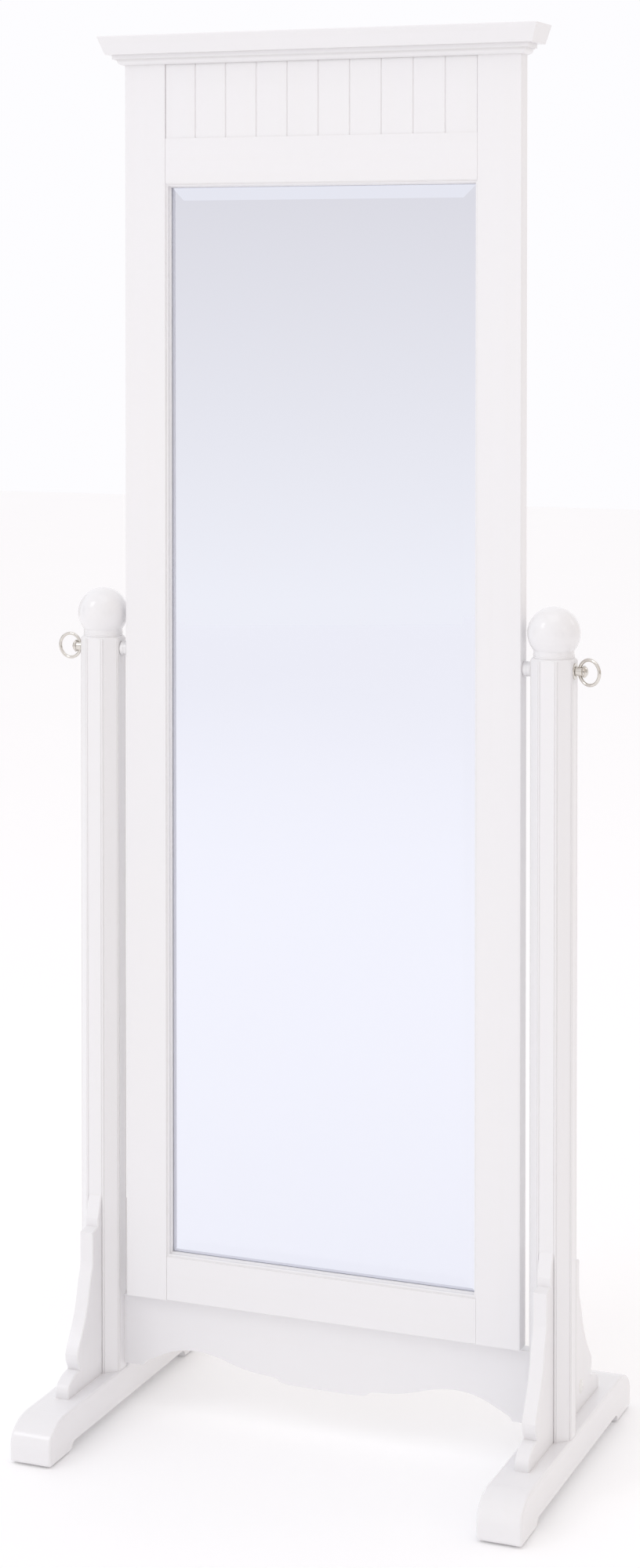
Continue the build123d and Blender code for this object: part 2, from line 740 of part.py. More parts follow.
def ring(side):
    """The ring hangs in the knob's eye; its plane is upright and a little off square."""
    loop = Pos(ring_radius, 0, 0) * Rot(90, 0, 0) * Torus(ring_radius, wire_radius)
    turn = -right_ring_rest if side > 0 else 180 - left_ring_rest
    return Pos(side * eye_x, post_y, pivot_height) * Rot(0, 0, turn) * loop


def main():
    os.makedirs("parts", exist_ok=True)
    for name, side in SIDES:
        write(name + "_post", post(side))
        write(name + "_finial", finial(side))
        write(name + "_foot", foot(side))
        write(name + "_front_bracket", bracket(side, -1))
        write(name + "_back_bracket", bracket(side, 1))
        write(name + "_bolt_cap", bolt_cap(side))
        write(name + "_post_bush", post_bush(side))
        write(name + "_backplate", backplate(side))
        write(name + "_stile", stile(side))
        write(name + "_threaded_insert", threaded_insert(side))
        write(name + "_pivot_spacer", pivot_spacer(side))
        write(name + "_clamp_stud", clamp_stud(side))
        write(name + "_knob", knob(side))
        write(name + "_ring", ring(side))
    write("apron", apron())
    write("bottom_rail", bottom_rail())
    write("top_rail", top_rail())
    write("head_board", head_board())
    write("beadboard_panel", beadboard_panel())
    write("crown_cap", crown_cap())
    write("crown_moulding", crown_moulding())
    write("mirror_glass", mirror_glass())
    write("glass_moulding", glass_moulding())
    write("back_panel", back_panel())
    write("back_panel_screws", back_screws())
    write("foot_glides", foot_glides())
    write("frame_dowels", frame_dowels(-1) + frame_dowels(1))
    write("crown_dowels", crown_dowels())
    write("apron_dowels", apron_dowels(-1) + apron_dowels(1))
    write("bracket_dowels", [d for _, side in SIDES for end in (-1, 1) for d in bracket_dowels(side, end)])
    write("post_bolts", [bolt(*foot_bolts(side)[0]) for _, side in SIDES])
    write("bracket_bolts", [bolt(*foot_bolts(side)[1]) for _, side in SIDES])
    write("bracket_screws", [bolt(*foot_bolts(side)[2]) for _, side in SIDES])
    write("barrel_nuts", [barrel_nut(side) for _, side in SIDES])


if __name__ == "__main__":
    main()
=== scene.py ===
import math

import bmesh
import bpy
from mathutils import Matrix, Vector


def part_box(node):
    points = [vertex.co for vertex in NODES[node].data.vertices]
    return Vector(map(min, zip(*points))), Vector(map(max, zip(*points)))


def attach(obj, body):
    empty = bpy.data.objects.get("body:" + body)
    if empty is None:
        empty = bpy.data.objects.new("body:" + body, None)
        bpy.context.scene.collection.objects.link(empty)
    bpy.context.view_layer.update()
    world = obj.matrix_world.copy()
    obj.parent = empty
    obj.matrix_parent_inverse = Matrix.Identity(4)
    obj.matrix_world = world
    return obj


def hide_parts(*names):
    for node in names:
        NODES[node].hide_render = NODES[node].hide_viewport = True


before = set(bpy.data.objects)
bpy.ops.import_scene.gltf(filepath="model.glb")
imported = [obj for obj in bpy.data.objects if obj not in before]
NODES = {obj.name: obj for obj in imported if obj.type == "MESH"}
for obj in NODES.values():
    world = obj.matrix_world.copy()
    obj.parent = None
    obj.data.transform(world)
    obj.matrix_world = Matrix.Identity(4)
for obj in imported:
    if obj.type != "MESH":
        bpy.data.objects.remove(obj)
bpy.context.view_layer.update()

bl_info = {
    "name": "Cheval Floor Mirror",
    "version": (1, 0, 0),
    "blender": (4, 5, 0),
    "location": "View3D > Sidebar > Mirror",
    "description": "Finishes and fittings for a white tilting floor mirror on a bracketed stand",
    "category": "Object",
}

SIDES = ("left", "right")

CAMERA_PLACE = (1.2843, -3.2420, 1.3971)
CAMERA_DIP = 1.427          # degrees below level
CAMERA_TURN = 21.766        # degrees to the left of straight ahead
CAMERA_LENS = 66.65
CAMERA_SHIFT = -0.274
SMOOTH_ANGLE = 35.0         # sharper corners than this stay sharp


# ---- Sizes and colours ------------------------------------------------------------

def metres(name, description, default):
    return bpy.props.FloatProperty(name=name, description=description, default=default, min=0.0,
                                   precision=5, unit="LENGTH", subtype="DISTANCE")


def colour(name, description, default):
    return bpy.props.FloatVectorProperty(name=name, description=description, default=default, size=3,
                                         min=0.0, max=1.0, subtype="COLOR")


class MirrorSizes(bpy.types.PropertyGroup):
    grain_pitch: metres("Grain pitch", "Distance between the pores that show through the lacquer", 0.0016)
    grain_length: metres("Grain length", "How far a pore line runs along the board", 0.14)
    grain_depth: metres("Grain depth", "Depth of the pores under the lacquer", 0.00003)
    peel_size: metres("Spray texture size", "Size of the fine ripple left by the spray gun", 0.0022)
    peel_depth: metres("Spray texture depth", "Height of the ripple left by the spray gun", 0.000012)
    edge_width: metres("Edge softness", "Width of the rim where the lacquer is thin", 0.0016)
    # Reach of the occlusion mask that paints shade into the creases of the lacquer
    shade_reach: metres("Crease reach", "How far the dust in the creases spreads", 0.004)
    screw_head: metres("Screw head radius", "Radius of the screws in the back panel", 0.0030)
    screw_dome: metres("Screw head height", "Height of the screws in the back panel", 0.0016)
    scratch_depth: metres("Scratch depth", "Depth of the polishing marks in the nickel", 0.000004)


class MirrorColours(bpy.types.PropertyGroup):
    lacquer: colour("Lacquer", "The white lacquer on all the painted wood", (0.862, 0.850, 0.850))
    # Also the pale tone of the painted highlight on the nickel's rims
    lacquer_cool: colour("Cool lacquer", "The cooler patches of the lacquer", (0.846, 0.840, 0.862))
    lacquer_rim: colour("Lacquer on rims", "Lacquer rubbed thin on an edge", (0.80, 0.775, 0.745))
    # A dark tone painted into the creases of the lacquer and balls as shade; on the glides it is their worn
    # tone
    shade_and_wear_tone: colour("Crease dust", "What gathers in joints and grooves", (0.60, 0.565, 0.545))
    silver: colour("Silvering", "The mirror's reflection", (0.833, 0.857, 0.932))
    glass_edge: colour("Glass edge", "The green of the glass seen from its edge", (0.30, 0.45, 0.40))
    mirror_back: colour("Mirror back", "The grey paint behind the silvering", (0.23, 0.24, 0.25))
    nickel: colour("Nickel", "The polished knobs, rings and plates", (0.74, 0.71, 0.665))
    nickel_dull: colour("Dull nickel", "Handled and tarnished nickel", (0.46, 0.43, 0.39))
    board: colour("Backing board", "The board that closes the back", (0.62, 0.56, 0.47))
    board_fleck: colour("Backing board flecks", "The fibres in the board", (0.42, 0.35, 0.26))
    button: colour("Cap", "The moulded caps over the bracket bolts", (0.86, 0.855, 0.85))
    nylon: colour("Glides", "The nylon glides under the feet", (0.36, 0.34, 0.31))
    beech: colour("Dowels", "The raw beech of the dowels", (0.56, 0.37, 0.20))
    zinc: colour("Zinc", "The plated bolts and screws", (0.52, 0.53, 0.55))
    brass: colour("Brass", "The bushes and inserts", (0.68, 0.50, 0.24))
    floor: colour("Floor", "The studio floor", (0.94, 0.935, 0.94))


# ---- Shader wrapper ------------------------------------------------------------------

class Strand:
    """One output of a finish's nodes. Python's arithmetic on it adds Math nodes."""

    def __init__(self, finish, socket):
        self.finish = finish
        self.socket = socket

    def maths(self, operation, *values):
        sockets = dict(enumerate(values))
        return self.finish.node("ShaderNodeMath", {"operation": operation}, sockets)

    def __add__(self, other):
        return self.maths("ADD", self, other)

    def __radd__(self, other):
        return self.maths("ADD", other, self)

    def __sub__(self, other):
        return self.maths("SUBTRACT", self, other)

    def __rsub__(self, other):
        return self.maths("SUBTRACT", other, self)

    def __mul__(self, other):
        return self.maths("MULTIPLY", self, other)

    def __rmul__(self, other):
        return self.maths("MULTIPLY", other, self)

    def __truediv__(self, other):
        return self.maths("DIVIDE", self, other)

    def __rtruediv__(self, other):
        return self.maths("DIVIDE", other, self)

    def __pow__(self, other):
        return self.maths("POWER", self, other)

    def clamped(self):
        return self.maths("MINIMUM", self.maths("MAXIMUM", self, 0.0), 1.0)


class Finish:
    """A material, or the studio's sky, and the few kinds of node that the finishes share."""

    def __init__(self, material, output="ShaderNodeOutputMaterial", shader="ShaderNodeBsdfPrincipled",
                 shader_output="BSDF"):
        material.use_nodes = True
        self.material = material
        self.tree = material.node_tree
        self.tree.nodes.clear()
        self.output = self.tree.nodes.new(output)
        self.shader = self.tree.nodes.new(shader)
        self.tree.links.new(self.shader.outputs[shader_output], self.output.inputs["Surface"])

    def node(self, kind, settings, sockets, output=0):
        made = self.tree.nodes.new(kind)
        for key, value in settings.items():
            if key == "stops":
                ramp = made.color_ramp
                while len(ramp.elements) < len(value):
                    ramp.elements.new(0.5)
                for element, (position, grey) in zip(ramp.elements, value):
                    element.position = position
                    element.color = (grey, grey, grey, 1.0)
            else:
                setattr(made, key, value)
        for key, value in sockets.items():
            self.feed(made.inputs[key], value)
        return Strand(self, made.outputs[output])

    def feed(self, socket, value):
        if isinstance(value, Strand):
            self.tree.links.new(value.socket, socket)
        elif hasattr(value, "__len__") and len(value) == 3 and socket.type == "RGBA":
            socket.default_value = (*value, 1.0)
        else:
            socket.default_value = value

    def set(self, **values):
        """Give the shader its values; a capital starts each word of a socket's name."""
        for key, value in values.items():
            self.feed(self.shader.inputs[key.replace("_", " ")], value)

    def place(self, scale=(1.0, 1.0, 1.0)):
        """The point on the piece, in its own frame, stretched by scale."""
        point = self.node("ShaderNodeTexCoord", {}, {}, "Object")
        return self.node("ShaderNodeVectorMath", {"operation": "MULTIPLY"}, {0: point, 1: scale})

    def noise(self, size, detail=3.0, roughness=0.55, stretch=(1.0, 1.0, 1.0)):
        """Cloudy values around one half; a feature is about size metres across."""
        scale = tuple(s / size for s in stretch)
        sockets = {"Vector": self.place(scale), "Scale": 1.0, "Detail": detail, "Roughness": roughness}
        return self.node("ShaderNodeTexNoise", {}, sockets, "Fac")

    def ramp(self, value, stops):
        return self.node("ShaderNodeValToRGB", {"stops": stops}, {"Fac": value})

    def blend(self, factor, first, second):
        return self.node("ShaderNodeMix", {"data_type": "RGBA"}, {0: factor, 6: first, 7: second}, 2)

    def rims(self, width, gain):
        """1 on convex and concave corners that are nearer than width, else 0."""
        soft = self.node("ShaderNodeBevel", {"samples": 4}, {"Radius": width}, "Normal")
        true = self.node("ShaderNodeNewGeometry", {}, {}, "Normal")
        along = self.node("ShaderNodeVectorMath", {"operation": "DOT_PRODUCT"}, {0: soft, 1: true}, "Value")
        return ((1.0 - along) * gain).clamped()

    def creases(self, reach, gain):
        """1 deep in a corner, 0 in the open."""
        open_air = self.node("ShaderNodeAmbientOcclusion", {"samples": 4}, {"Distance": reach}, "AO")
        return ((1.0 - open_air) * gain).clamped()

    def bump(self, height, distance, strength=1.0, under=None):
        sockets = {"Height": height, "Distance": distance, "Strength": strength}
        if under is not None:
            sockets["Normal"] = under
        return self.node("ShaderNodeBump", {}, sockets, "Normal")


# ---- Finishes --------------------------------------------------------------------------

def lacquered_wood(name, grain, base_roughness=0.27, coat_weight=0.18):
    """White lacquer sprayed over wood whose grain runs along the axis grain."""
    sizes, tints = bpy.context.scene.mirror_sizes, bpy.context.scene.mirror_colours
    coat = Finish(bpy.data.materials.new(name))
    shrink = [1.0, 1.0, 1.0]
    shrink["XYZ".index(grain)] = sizes.grain_pitch / sizes.grain_length
    pores = coat.noise(sizes.grain_pitch, 2.0, 0.6, shrink)
    lines = coat.noise(sizes.grain_pitch * 9, 2.0, 0.5, shrink)
    peel = coat.noise(sizes.peel_size, 1.0, 0.4)
    patches = coat.noise(0.16, 3.0, 0.6)
    drift = coat.noise(0.55, 1.0, 0.5)
    rim_wear_and_glint = coat.rims(sizes.edge_width, 3.2) * coat.ramp(coat.noise(0.03, 3.0), [(0.35, 0.25), (0.65, 1.0)])
    # Painted shade: creases and joints darkened by an occlusion mask, broken into patches
    painted_crease_shade = coat.creases(sizes.shade_reach, 1.1)
    painted_crease_shade = painted_crease_shade * coat.ramp(coat.noise(0.018, 2.0), [(0.3, 0.45), (0.7, 1.0)])
    tone = (patches * 0.6 + drift * 0.9 - 0.35).clamped()
    white = coat.blend(tone, tints.lacquer_cool, tints.lacquer)
    white = coat.blend((lines - 0.5).clamped() * 0.35, white, tints.lacquer_rim)
    white = coat.blend(rim_wear_and_glint * 0.40, white, tints.lacquer_rim)
    white = coat.blend(painted_crease_shade * 0.25, white, tints.shade_and_wear_tone)
    rough = base_roughness + patches * 0.10 + (lines - 0.5) * 0.08 + rim_wear_and_glint * 0.10 + painted_crease_shade * 0.16
    ripple = coat.bump(peel, sizes.peel_depth)
    relief = coat.bump(pores, sizes.grain_depth, 0.9, ripple)
    coat.set(Base_Color=white, Roughness=rough, Normal=relief, IOR=1.48, Coat_Weight=coat_weight,
             Coat_Roughness=0.12)
    return coat.material


def turned_wood(name):
    """The same lacquer, rubbed glossier, on the turned balls."""
    sizes, tints = bpy.context.scene.mirror_sizes, bpy.context.scene.mirror_colours
    coat = Finish(bpy.data.materials.new(name))
    patches = coat.noise(0.03, 3.0, 0.6)
    peel = coat.noise(sizes.peel_size, 1.0, 0.4)
    turning = coat.noise(0.0012, 1.0, 0.5, (0.08, 0.08, 1.0))
    # Painted shade: creases of the balls and spacers darkened by an occlusion mask
    painted_crease_shade = coat.creases(sizes.shade_reach, 1.2)
    white = coat.blend(patches, tints.lacquer_cool, tints.lacquer)
    white = coat.blend(painted_crease_shade * 0.28, white, tints.shade_and_wear_tone)
    ripple = coat.bump(peel, sizes.peel_depth * 0.7)
    relief = coat.bump(turning, sizes.grain_depth * 0.3, 0.6, ripple)
    coat.set(Base_Color=white, Roughness=0.15 + patches * 0.09 + painted_crease_shade * 0.2, Normal=relief, IOR=1.5,
             Coat_Weight=0.35, Coat_Roughness=0.06)
    return coat.material


def silvered_glass(name):
    """Silvering seen through the face; grey paint behind it and green at the edges."""
    tints = bpy.context.scene.mirror_colours
    plate = Finish(bpy.data.materials.new(name))
    facing = plate.node("ShaderNodeTexCoord", {}, {}, "Normal")
    forward = plate.node("ShaderNodeSeparateXYZ", {}, {0: facing}, "Y")
    face = plate.ramp(0.0 - forward, [(0.45, 0.0), (0.6, 1.0)])
    behind = plate.ramp(forward, [(0.45, 0.0), (0.6, 1.0)])
    smears = plate.noise(0.12, 4.0, 0.65, (1.0, 1.0, 0.35))
    specks = plate.ramp(plate.noise(0.004, 2.0, 0.7), [(0.70, 0.0), (0.78, 1.0)])
    hazy = plate.ramp(smears, [(0.45, 0.0), (0.75, 1.0)])
    painted = plate.blend(plate.noise(0.02) * 0.5, tints.mirror_back, tints.glass_edge)
    edge = plate.blend(behind, tints.glass_edge, painted)
    silver = plate.blend(hazy * 0.05, tints.silver, tints.lacquer)
    plate.set(Base_Color=plate.blend(face, edge, silver), Metallic=face,
              Roughness=(1.0 - face) * 0.35 + 0.004 + hazy * 0.010 + specks * 0.012, IOR=1.52)
    return plate.material


def nickel(name):
    """Polished nickel with fine polishing marks, a little tarnish in the creases, and rims lightened as a
    painted highlight.
    """
    sizes, tints = bpy.context.scene.mirror_sizes, bpy.context.scene.mirror_colours
    metal = Finish(bpy.data.materials.new(name))
    handled = metal.ramp(metal.noise(0.006, 3.0, 0.6), [(0.42, 0.0), (0.72, 1.0)])
    marks = metal.noise(0.0005, 2.0, 0.6, (1.0, 0.1, 1.0))
    tarnish = metal.creases(0.004, 1.0)
    rim_wear_and_glint = metal.rims(0.0006, 3.0)
    tone = metal.blend((handled * 0.30 + tarnish * 0.6).clamped(), tints.nickel, tints.nickel_dull)
    # Painted highlight: the metal's rims are lightened toward a pale cool white
    tone = metal.blend(rim_wear_and_glint * 0.4, tone, tints.lacquer_cool)
    metal.set(Base_Color=tone, Metallic=1.0, Roughness=0.07 + handled * 0.07 + tarnish * 0.20,
              Normal=metal.bump(marks, sizes.scratch_depth))
    return metal.material


def plated(name, tone, worn, rough):
    """Zinc or brass with a mottled plating."""
    sizes = bpy.context.scene.mirror_sizes
    metal = Finish(bpy.data.materials.new(name))
    mottle = metal.noise(0.003, 4.0, 0.65)
    streaks = metal.noise(0.0006, 2.0, 0.5, (1.0, 0.15, 1.0))
    grime = metal.creases(0.003, 1.0)
    metal.set(Base_Color=metal.blend((mottle * 0.5 + grime * 0.5).clamped(), tone, worn), Metallic=1.0,
              Roughness=rough + mottle * 0.16 + grime * 0.15,
              Normal=metal.bump(streaks, sizes.scratch_depth * 2))
    return metal.material


def backing_board(name):
    """Pale pressed fibre board."""
    tints = bpy.context.scene.mirror_colours
    board = Finish(bpy.data.materials.new(name))
    fibres = board.noise(0.0022, 4.0, 0.7, (1.0, 1.0, 0.4))
    clouds = board.noise(0.09, 3.0, 0.6)
    flecks = board.ramp(fibres, [(0.56, 0.0), (0.66, 1.0)])
    scuffs = board.ramp(board.noise(0.05, 4.0, 0.75, (1.0, 1.0, 0.2)), [(0.62, 0.0), (0.72, 1.0)])
    tone = board.blend(flecks * 0.55, tints.board, tints.board_fleck)
    tone = board.blend(clouds * 0.22, tone, tints.lacquer_rim)
    tone = board.blend(scuffs * 0.25, tone, tints.lacquer)
    board.set(Base_Color=tone, Roughness=0.62 + fibres * 0.2 - scuffs * 0.12,
              Normal=board.bump(fibres, 0.00008, 0.8), IOR=1.45)
    return board.material


def moulded(name, tone, worn, rough):
    """Moulded plastic with a faint texture and rubbed rims."""
    plastic = Finish(bpy.data.materials.new(name))
    clouds = plastic.noise(0.008, 3.0, 0.6)
    texture = plastic.noise(0.0007, 2.0, 0.5)
    rim_wear_and_glint = plastic.rims(0.0006, 3.0)
    plastic.set(Base_Color=plastic.blend((clouds * 0.35 + rim_wear_and_glint * 0.35).clamped(), tone, worn),
                Roughness=rough + clouds * 0.10 + rim_wear_and_glint * 0.08, Normal=plastic.bump(texture, 0.00001),
                IOR=1.46)
    return plastic.material


def raw_beech(name):
    """Unfinished beech with its short flecks."""
    tints = bpy.context.scene.mirror_colours
    wood = Finish(bpy.data.materials.new(name))
    rings = wood.noise(0.004, 3.0, 0.6, (0.2, 1.0, 1.0))
    flecks = wood.ramp(wood.noise(0.0015, 2.0, 0.6, (0.3, 1.0, 0.3)), [(0.55, 0.0), (0.62, 1.0)])
    tone = wood.blend(rings * 0.5, tints.beech, tints.board)
    tone = wood.blend(flecks * 0.4, tone, tints.board_fleck)
    wood.set(Base_Color=tone, Roughness=0.55 + rings * 0.2, Normal=wood.bump(rings, 0.00005), IOR=1.45)
    return wood.material


def studio_floor(name):
    """A pale seamless floor with a faint mottle."""
    tints = bpy.context.scene.mirror_colours
    paper = Finish(bpy.data.materials.new(name))
    clouds = paper.noise(0.8, 3.0, 0.5)
    grit = paper.noise(0.004, 2.0, 0.5)
    paper.set(Base_Color=paper.blend(clouds * 0.12, tints.floor, tints.lacquer_cool),
              Roughness=0.75 + clouds * 0.1, Normal=paper.bump(grit, 0.00004), IOR=1.3,
              Emission_Color=(1.0, 1.0, 1.0), Emission_Strength=0.09)
    return paper.material


def glowing(name, low, high, bottom, top, crest=None, peak=None):
    """A card whose light runs from low at the height bottom to high at top, then to crest at peak."""
    card = Finish(bpy.data.materials.new(name))
    height = card.node("ShaderNodeSeparateXYZ", {}, {0: card.place()}, "Z")
    climb = ((height - bottom) / (top - bottom)).clamped()
    light = card.blend(climb, low, high)
    if crest:
        light = card.blend(((height - top) / (peak - top)).clamped(), light, crest)
    card.set(Base_Color=(0.0, 0.0, 0.0), Roughness=1.0, Emission_Color=light, Emission_Strength=1.0,
             Specular_IOR_Level=0.0)
    return card.material


# ---- Putting finishes and meshes on pieces --------------------------------------------------

def dress(node, material):
    """Give a carried-over node its finish."""
    piece = NODES[node]
    if not piece.data.materials:
        piece.data.materials.append(material)
    for slot in piece.material_slots:
        slot.material = material


def dress_all(names, material):
    for name in names:
        dress(name, material)


def both(*names):
    return [side + "_" + name for name in names for side in SIDES]


def mesh_object(name, mesh):
    """Turn a bmesh into an object that shades smooth except over sharp corners."""
    data = bpy.data.meshes.new(name)
    mesh.to_mesh(data)
    mesh.free()
    piece = bpy.data.objects.new(name, data)
    bpy.context.scene.collection.objects.link(piece)
    for polygon in data.polygons:
        polygon.use_smooth = True
    data.set_sharp_from_angle(angle=math.radians(SMOOTH_ANGLE))
    return piece


def islands(node):
    """The centre and box of each separate solid in a node."""
    mesh = bmesh.new()
    mesh.from_mesh(NODES[node].data)
    bmesh.ops.remove_doubles(mesh, verts=mesh.verts, dist=1e-6)
    left = set(mesh.verts)
    found = []
    while left:
        stack = [left.pop()]
        member = []
        while stack:
            vertex = stack.pop()
            member.append(vertex.co.copy())
            for edge in vertex.link_edges:
                other = edge.other_vert(vertex)
                if other in left:
                    left.discard(other)
                    stack.append(other)
        low = Vector(min(v[k] for v in member) for k in range(3))
        high = Vector(max(v[k] for v in member) for k in range(3))
        found.append((low, high))
    mesh.free()
    return sorted(found, key=lambda pair: (round(pair[0].x, 4), round(pair[0].z, 4), round(pair[0].y, 4)))


def recessed_head(radius, height, flat, recess, depth):
    """A turned screw head along +Z, with a cross cut into the mesh of its top."""
    mesh = bmesh.new()
    steps = 48
    slot_share = 0.42           # how far the cross's inner corners reach
    outline = []
    for k in range(steps):
        angle = 2 * math.pi * k / steps
        in_arm = abs(math.cos(2 * angle)) > 0.86
        outline.append((math.cos(angle), math.sin(angle), recess if in_arm else recess * slot_share))
    shoulder = flat + (radius - flat) * 0.55
    rings = []
    for size, z in ((radius, 0.0), (radius, height * 0.35), (radius * 0.93, height * 0.72),
                    (shoulder, height * 0.93)):
        rings.append([mesh.verts.new((size * x, size * y, z)) for x, y, reach in outline])
    for share, z in ((1.0, height), (0.9, height - depth)):
        rings.append([mesh.verts.new((share * reach * x, share * reach * y, z)) for x, y, reach in outline])
    for lower, upper in zip(rings, rings[1:]):
        for k in range(steps):
            after = (k + 1) % steps
            mesh.faces.new((lower[k], lower[after], upper[after], upper[k]))
    mesh.faces.new(rings[-1])
    mesh.faces.new(list(reversed(rings[0])))
    return mesh


def spread(head, places, turn):
    """Copies of a head at places, each turned a little differently about its own axis."""
    joined = bmesh.new()
    data = bpy.data.meshes.new("head")
    head.to_mesh(data)
    head.free()
    for k, place in enumerate(places):
        before = len(joined.verts)
        joined.from_mesh(data)
        joined.verts.ensure_lookup_table()
        spin = Matrix.Rotation(0.7 * k * k, 4, "Z")
        move = Matrix.Translation(place) @ turn @ spin
        bmesh.ops.transform(joined, matrix=move, verts=joined.verts[before:])
    bpy.data.meshes.remove(data)
    return joined


# ---- Operators ------------------------------------------------------------------------------

class MIRROR_OT_posts(bpy.types.Operator):
    """Lacquer the two octagonal posts, their grain upright"""
    bl_idname = "mirror.posts"
    bl_label = "Posts"

    def execute(self, context):
        dress_all(both("post"), lacquered_wood("post_lacquer", "Z"))
        return {"FINISHED"}


class MIRROR_OT_feet(bpy.types.Operator):
    """Lacquer the feet, whose grain runs from front to back, and finish their glides"""
    bl_idname = "mirror.feet"
    bl_label = "Feet and glides"

    def execute(self, context):
        tints = context.scene.mirror_colours
        dress_all(both("foot"), lacquered_wood("foot_lacquer", "Y", 0.18, 0.40))
        dress("foot_glides", moulded("glide_nylon", tints.nylon, tints.shade_and_wear_tone, 0.5))
        return {"FINISHED"}


class MIRROR_OT_brackets(bpy.types.Operator):
    """Lacquer the four scroll brackets and the apron between the posts"""
    bl_idname = "mirror.brackets"
    bl_label = "Brackets and apron"

    def execute(self, context):
        tints = context.scene.mirror_colours
        dress_all(both("front_bracket", "back_bracket"), lacquered_wood("bracket_lacquer", "Z"))
        dress("apron", lacquered_wood("apron_lacquer", "X"))
        dress_all(both("bolt_cap"), moulded("cap_plastic", tints.button, tints.lacquer_rim, 0.22))
        return {"FINISHED"}


class MIRROR_OT_finials(bpy.types.Operator):
    """Lacquer the turned balls and the spacers at the pivots"""
    bl_idname = "mirror.finials"
    bl_label = "Finials and spacers"

    def execute(self, context):
        dress_all(both("finial", "pivot_spacer"), turned_wood("turned_lacquer"))
        return {"FINISHED"}


class MIRROR_OT_swing_frame(bpy.types.Operator):
    """Lacquer the stiles, rails, beaded panel, head board, crown and mouldings"""
    bl_idname = "mirror.swing_frame"
    bl_label = "Swinging frame"

    def execute(self, context):
        upright = lacquered_wood("stile_lacquer", "Z")
        across = lacquered_wood("rail_lacquer", "X")
        dress_all(both("stile") + ["beadboard_panel"], upright)
        dress_all(["bottom_rail", "top_rail", "head_board", "crown_cap", "crown_moulding", "glass_moulding"],
                  across)
        return {"FINISHED"}


class MIRROR_OT_glass(bpy.types.Operator):
    """Silver the bevelled glass and finish the board behind it"""
    bl_idname = "mirror.glass"
    bl_label = "Glass and back"

    def execute(self, context):
        dress("mirror_glass", silvered_glass("silvering"))
        dress("back_panel", backing_board("fibre_board"))
        return {"FINISHED"}


class MIRROR_OT_pulls(bpy.types.Operator):
    """Polish the knobs, their plates and the ring pulls"""
    bl_idname = "mirror.pulls"
    bl_label = "Knobs and rings"

    def execute(self, context):
        dress_all(both("knob", "ring", "backplate"), nickel("polished_nickel"))
        return {"FINISHED"}


class MIRROR_OT_fasteners(bpy.types.Operator):
    """Finish the hidden dowels, bolts, bushes and inserts"""
    bl_idname = "mirror.fasteners"
    bl_label = "Fasteners"

    def execute(self, context):
        tints = context.scene.mirror_colours
        dress_all(["apron_dowels", "bracket_dowels", "frame_dowels", "crown_dowels"], raw_beech("beech"))
        zinc = plated("zinc_plate", tints.zinc, tints.nickel_dull, 0.28)
        brass = plated("turned_brass", tints.brass, tints.beech, 0.24)
        dress_all(both("clamp_stud") + ["post_bolts", "bracket_bolts", "bracket_screws", "barrel_nuts",
                                         "back_panel_screws"], zinc)
        dress_all(both("post_bush", "threaded_insert"), brass)
        return {"FINISHED"}


class MIRROR_OT_back_screws(bpy.types.Operator):
    """Model the cross-headed screws that hold the back panel"""
    bl_idname = "mirror.back_screws"
    bl_label = "Back screws"

    def execute(self, context):
        sizes = context.scene.mirror_sizes
        tints = context.scene.mirror_colours
        head = recessed_head(sizes.screw_head, sizes.screw_dome, sizes.screw_head * 0.45,
                             sizes.screw_head * 0.62, sizes.screw_dome * 0.8)
        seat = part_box("back_panel")[1].y
        places = [Vector(((low.x + high.x) / 2, seat, (low.z + high.z) / 2))
                  for low, high in islands("back_panel_screws")]
        if not places:
            raise RuntimeError("the back panel has no screws to stand for")
        backward = Matrix.Rotation(-math.pi / 2, 4, "X")
        heads = mesh_object("back_screw_heads", spread(head, places, backward))
        heads.data.materials.append(plated("screw_zinc", tints.zinc, tints.nickel_dull, 0.24))
        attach(heads, "mirror_frame")
        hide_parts("back_panel_screws")
        return {"FINISHED"}


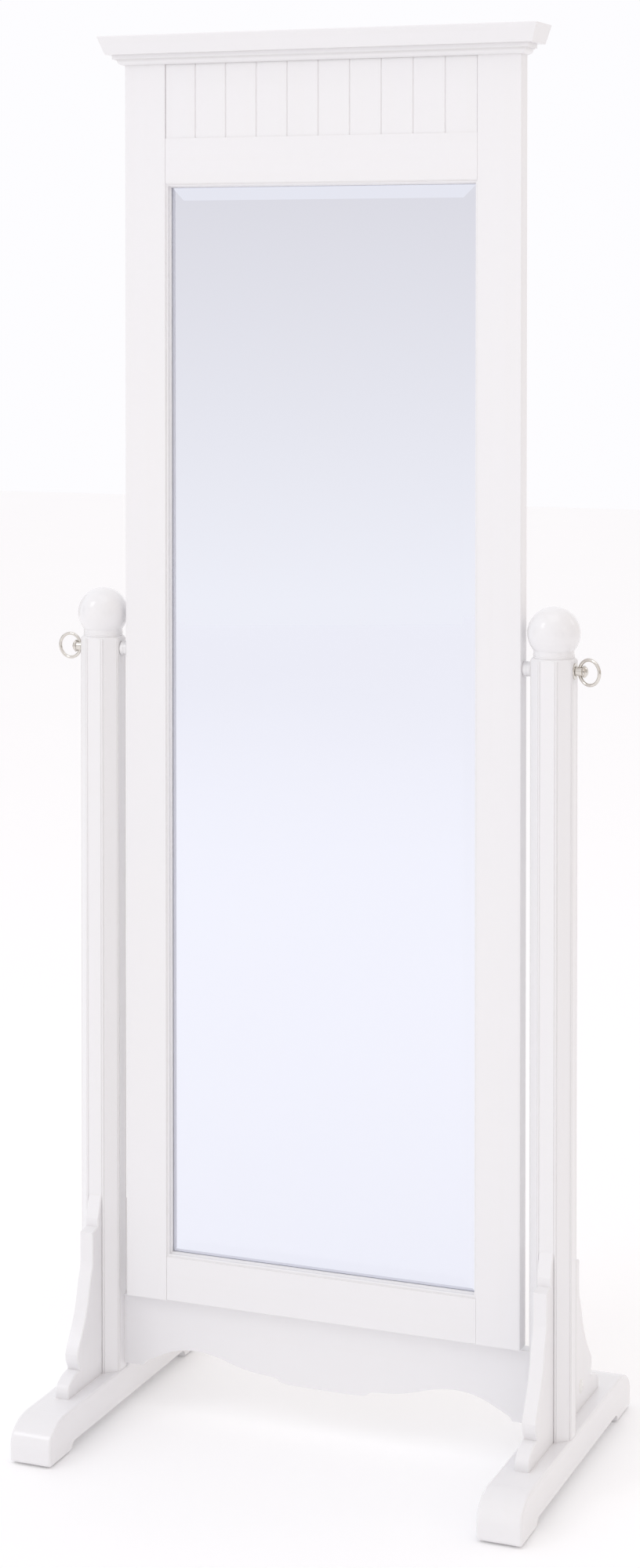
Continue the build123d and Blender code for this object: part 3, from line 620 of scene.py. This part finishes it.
class MIRROR_OT_stage(bpy.types.Operator):
    """Set out the pale floor, the soft light, the cards that the glass reflects, and the camera"""
    bl_idname = "mirror.stage"
    bl_label = "Stage"

    def card(self, name, corners, material):
        mesh = bmesh.new()
        mesh.faces.new([mesh.verts.new(corner) for corner in corners])
        piece = mesh_object(name, mesh)
        piece.data.materials.append(material)
        return piece

    def screen(self, name, centre, width, low, high, material):
        """An upright card that faces the mirror and shows only in reflections."""
        centre = Vector((centre[0], centre[1], 0.0))
        across = Vector((-centre.y, centre.x, 0.0)).normalized() * width / 2
        corners = [centre - across + Vector((0, 0, low)), centre + across + Vector((0, 0, low)),
                   centre + across + Vector((0, 0, high)), centre - across + Vector((0, 0, high))]
        piece = self.card(name, corners, material)
        piece.visible_camera = False
        piece.visible_diffuse = False
        piece.visible_shadow = False
        return piece

    def softbox(self, name, place, aim, width, height, power, tone):
        light = bpy.data.lights.new(name, "AREA")
        light.shape = "RECTANGLE"
        light.size = width
        light.size_y = height
        light.energy = power
        light.color = tone
        lamp = bpy.data.objects.new(name, light)
        lamp.location = place
        lamp.rotation_euler = (Vector(aim) - Vector(place)).to_track_quat("-Z", "Y").to_euler()
        bpy.context.scene.collection.objects.link(lamp)

    def execute(self, context):
        scene = context.scene
        reach = 14.0
        floor = [(-reach, -reach, 0), (reach, -reach, 0), (reach, reach, 0), (-reach, reach, 0)]
        self.card("floor", floor, studio_floor("floor_paper"))
        pale = glowing("backdrop_glow", (1.02, 1.005, 1.01), (0.86, 0.835, 0.840), 0.1, 1.75,
                       (0.95, 0.935, 0.95), 3.0)
        self.screen("front_screen", (-3.4, -7.6), 7.5, 0.0, 5.0, pale)
        dark = glowing("flag_cloth", (0.05, 0.05, 0.055), (0.05, 0.05, 0.055), 0.0, 1.0)
        self.screen("right_flag", (4.6, -3.0), 0.9, 0.2, 2.6, dark)
        self.screen("left_flag", (-5.2, -1.2), 0.9, 0.2, 2.6, dark)
        self.screen("front_flag", (3.2, -6.0), 0.7, 0.2, 2.6, dark)
        grey = glowing("side_card", (0.66, 0.63, 0.61), (0.60, 0.575, 0.56), 0.0, 2.5)
        self.screen("right_card", (5.0, 1.6), 3.0, 0.0, 3.2, grey)
        self.screen("left_card", (-5.0, 2.4), 3.0, 0.0, 3.2, grey)
        self.softbox("key", (-2.8, -3.4, 4.2), (0, 0, 1.1), 1.4, 1.8, 20.0, (0.97, 0.98, 1.0))
        self.softbox("top", (0.6, -0.8, 4.6), (0, 0, 0.9), 2.4, 2.4, 10.0, (1.0, 1.0, 1.0))
        self.softbox("side", (3.8, -1.6, 2.2), (0, 0, 0.9), 1.2, 2.0, 3.0, (1.0, 0.95, 0.90))
        self.softbox("window", (3.5, 2.5, 3.2), (0, 0, 1.0), 0.8, 1.1, 4.0, (0.97, 0.98, 1.0))

        world = bpy.data.worlds.new("studio")
        scene.world = world
        sky = Finish(world, "ShaderNodeOutputWorld", "ShaderNodeBackground", "Background")
        direction = sky.node("ShaderNodeTexCoord", {}, {}, "Generated")
        sideways = sky.node("ShaderNodeSeparateXYZ", {}, {0: direction}, "X")
        warm = sky.ramp(sideways, [(0.1, 0.0), (0.9, 1.0)])
        sky.set(Color=sky.blend(warm, (0.985, 0.98, 1.0), (0.77, 0.71, 0.67)), Strength=1.0)

        camera = bpy.data.cameras.new("camera")
        camera.sensor_width = 36.0
        camera.lens = CAMERA_LENS
        camera.shift_y = CAMERA_SHIFT
        camera.clip_end = 100.0
        view = bpy.data.objects.new("camera", camera)
        view.location = CAMERA_PLACE
        view.rotation_euler = (math.radians(90 - CAMERA_DIP), 0.0, math.radians(CAMERA_TURN))
        scene.collection.objects.link(view)
        scene.camera = view
        scene.view_settings.view_transform = "Standard"
        return {"FINISHED"}


class MIRROR_PT_panel(bpy.types.Panel):
    """The mirror's sizes, colours and pieces"""
    bl_idname = "MIRROR_PT_panel"
    bl_label = "Cheval Mirror"
    bl_space_type = "VIEW_3D"
    bl_region_type = "UI"
    bl_category = "Mirror"

    def draw(self, context):
        layout = self.layout
        for group in (context.scene.mirror_sizes, context.scene.mirror_colours):
            box = layout.box()
            for key in group.bl_rna.properties.keys():
                if key not in ("rna_type", "name"):
                    box.prop(group, key)
        column = layout.column()
        for operator in PIECES:
            column.operator(operator.bl_idname)


PIECES = (MIRROR_OT_posts, MIRROR_OT_feet, MIRROR_OT_brackets, MIRROR_OT_finials, MIRROR_OT_swing_frame,
          MIRROR_OT_glass, MIRROR_OT_pulls, MIRROR_OT_fasteners, MIRROR_OT_back_screws, MIRROR_OT_stage)
CLASSES = (MirrorSizes, MirrorColours) + PIECES + (MIRROR_PT_panel,)


def register():
    for each in CLASSES:
        bpy.utils.register_class(each)
    bpy.types.Scene.mirror_sizes = bpy.props.PointerProperty(type=MirrorSizes)
    bpy.types.Scene.mirror_colours = bpy.props.PointerProperty(type=MirrorColours)


def unregister():
    del bpy.types.Scene.mirror_colours
    del bpy.types.Scene.mirror_sizes
    for each in reversed(CLASSES):
        bpy.utils.unregister_class(each)


def main():
    register()
    for operator in PIECES:
        family, name = operator.bl_idname.split(".")
        getattr(getattr(bpy.ops, family), name)()


if __name__ == "__main__":
    main()
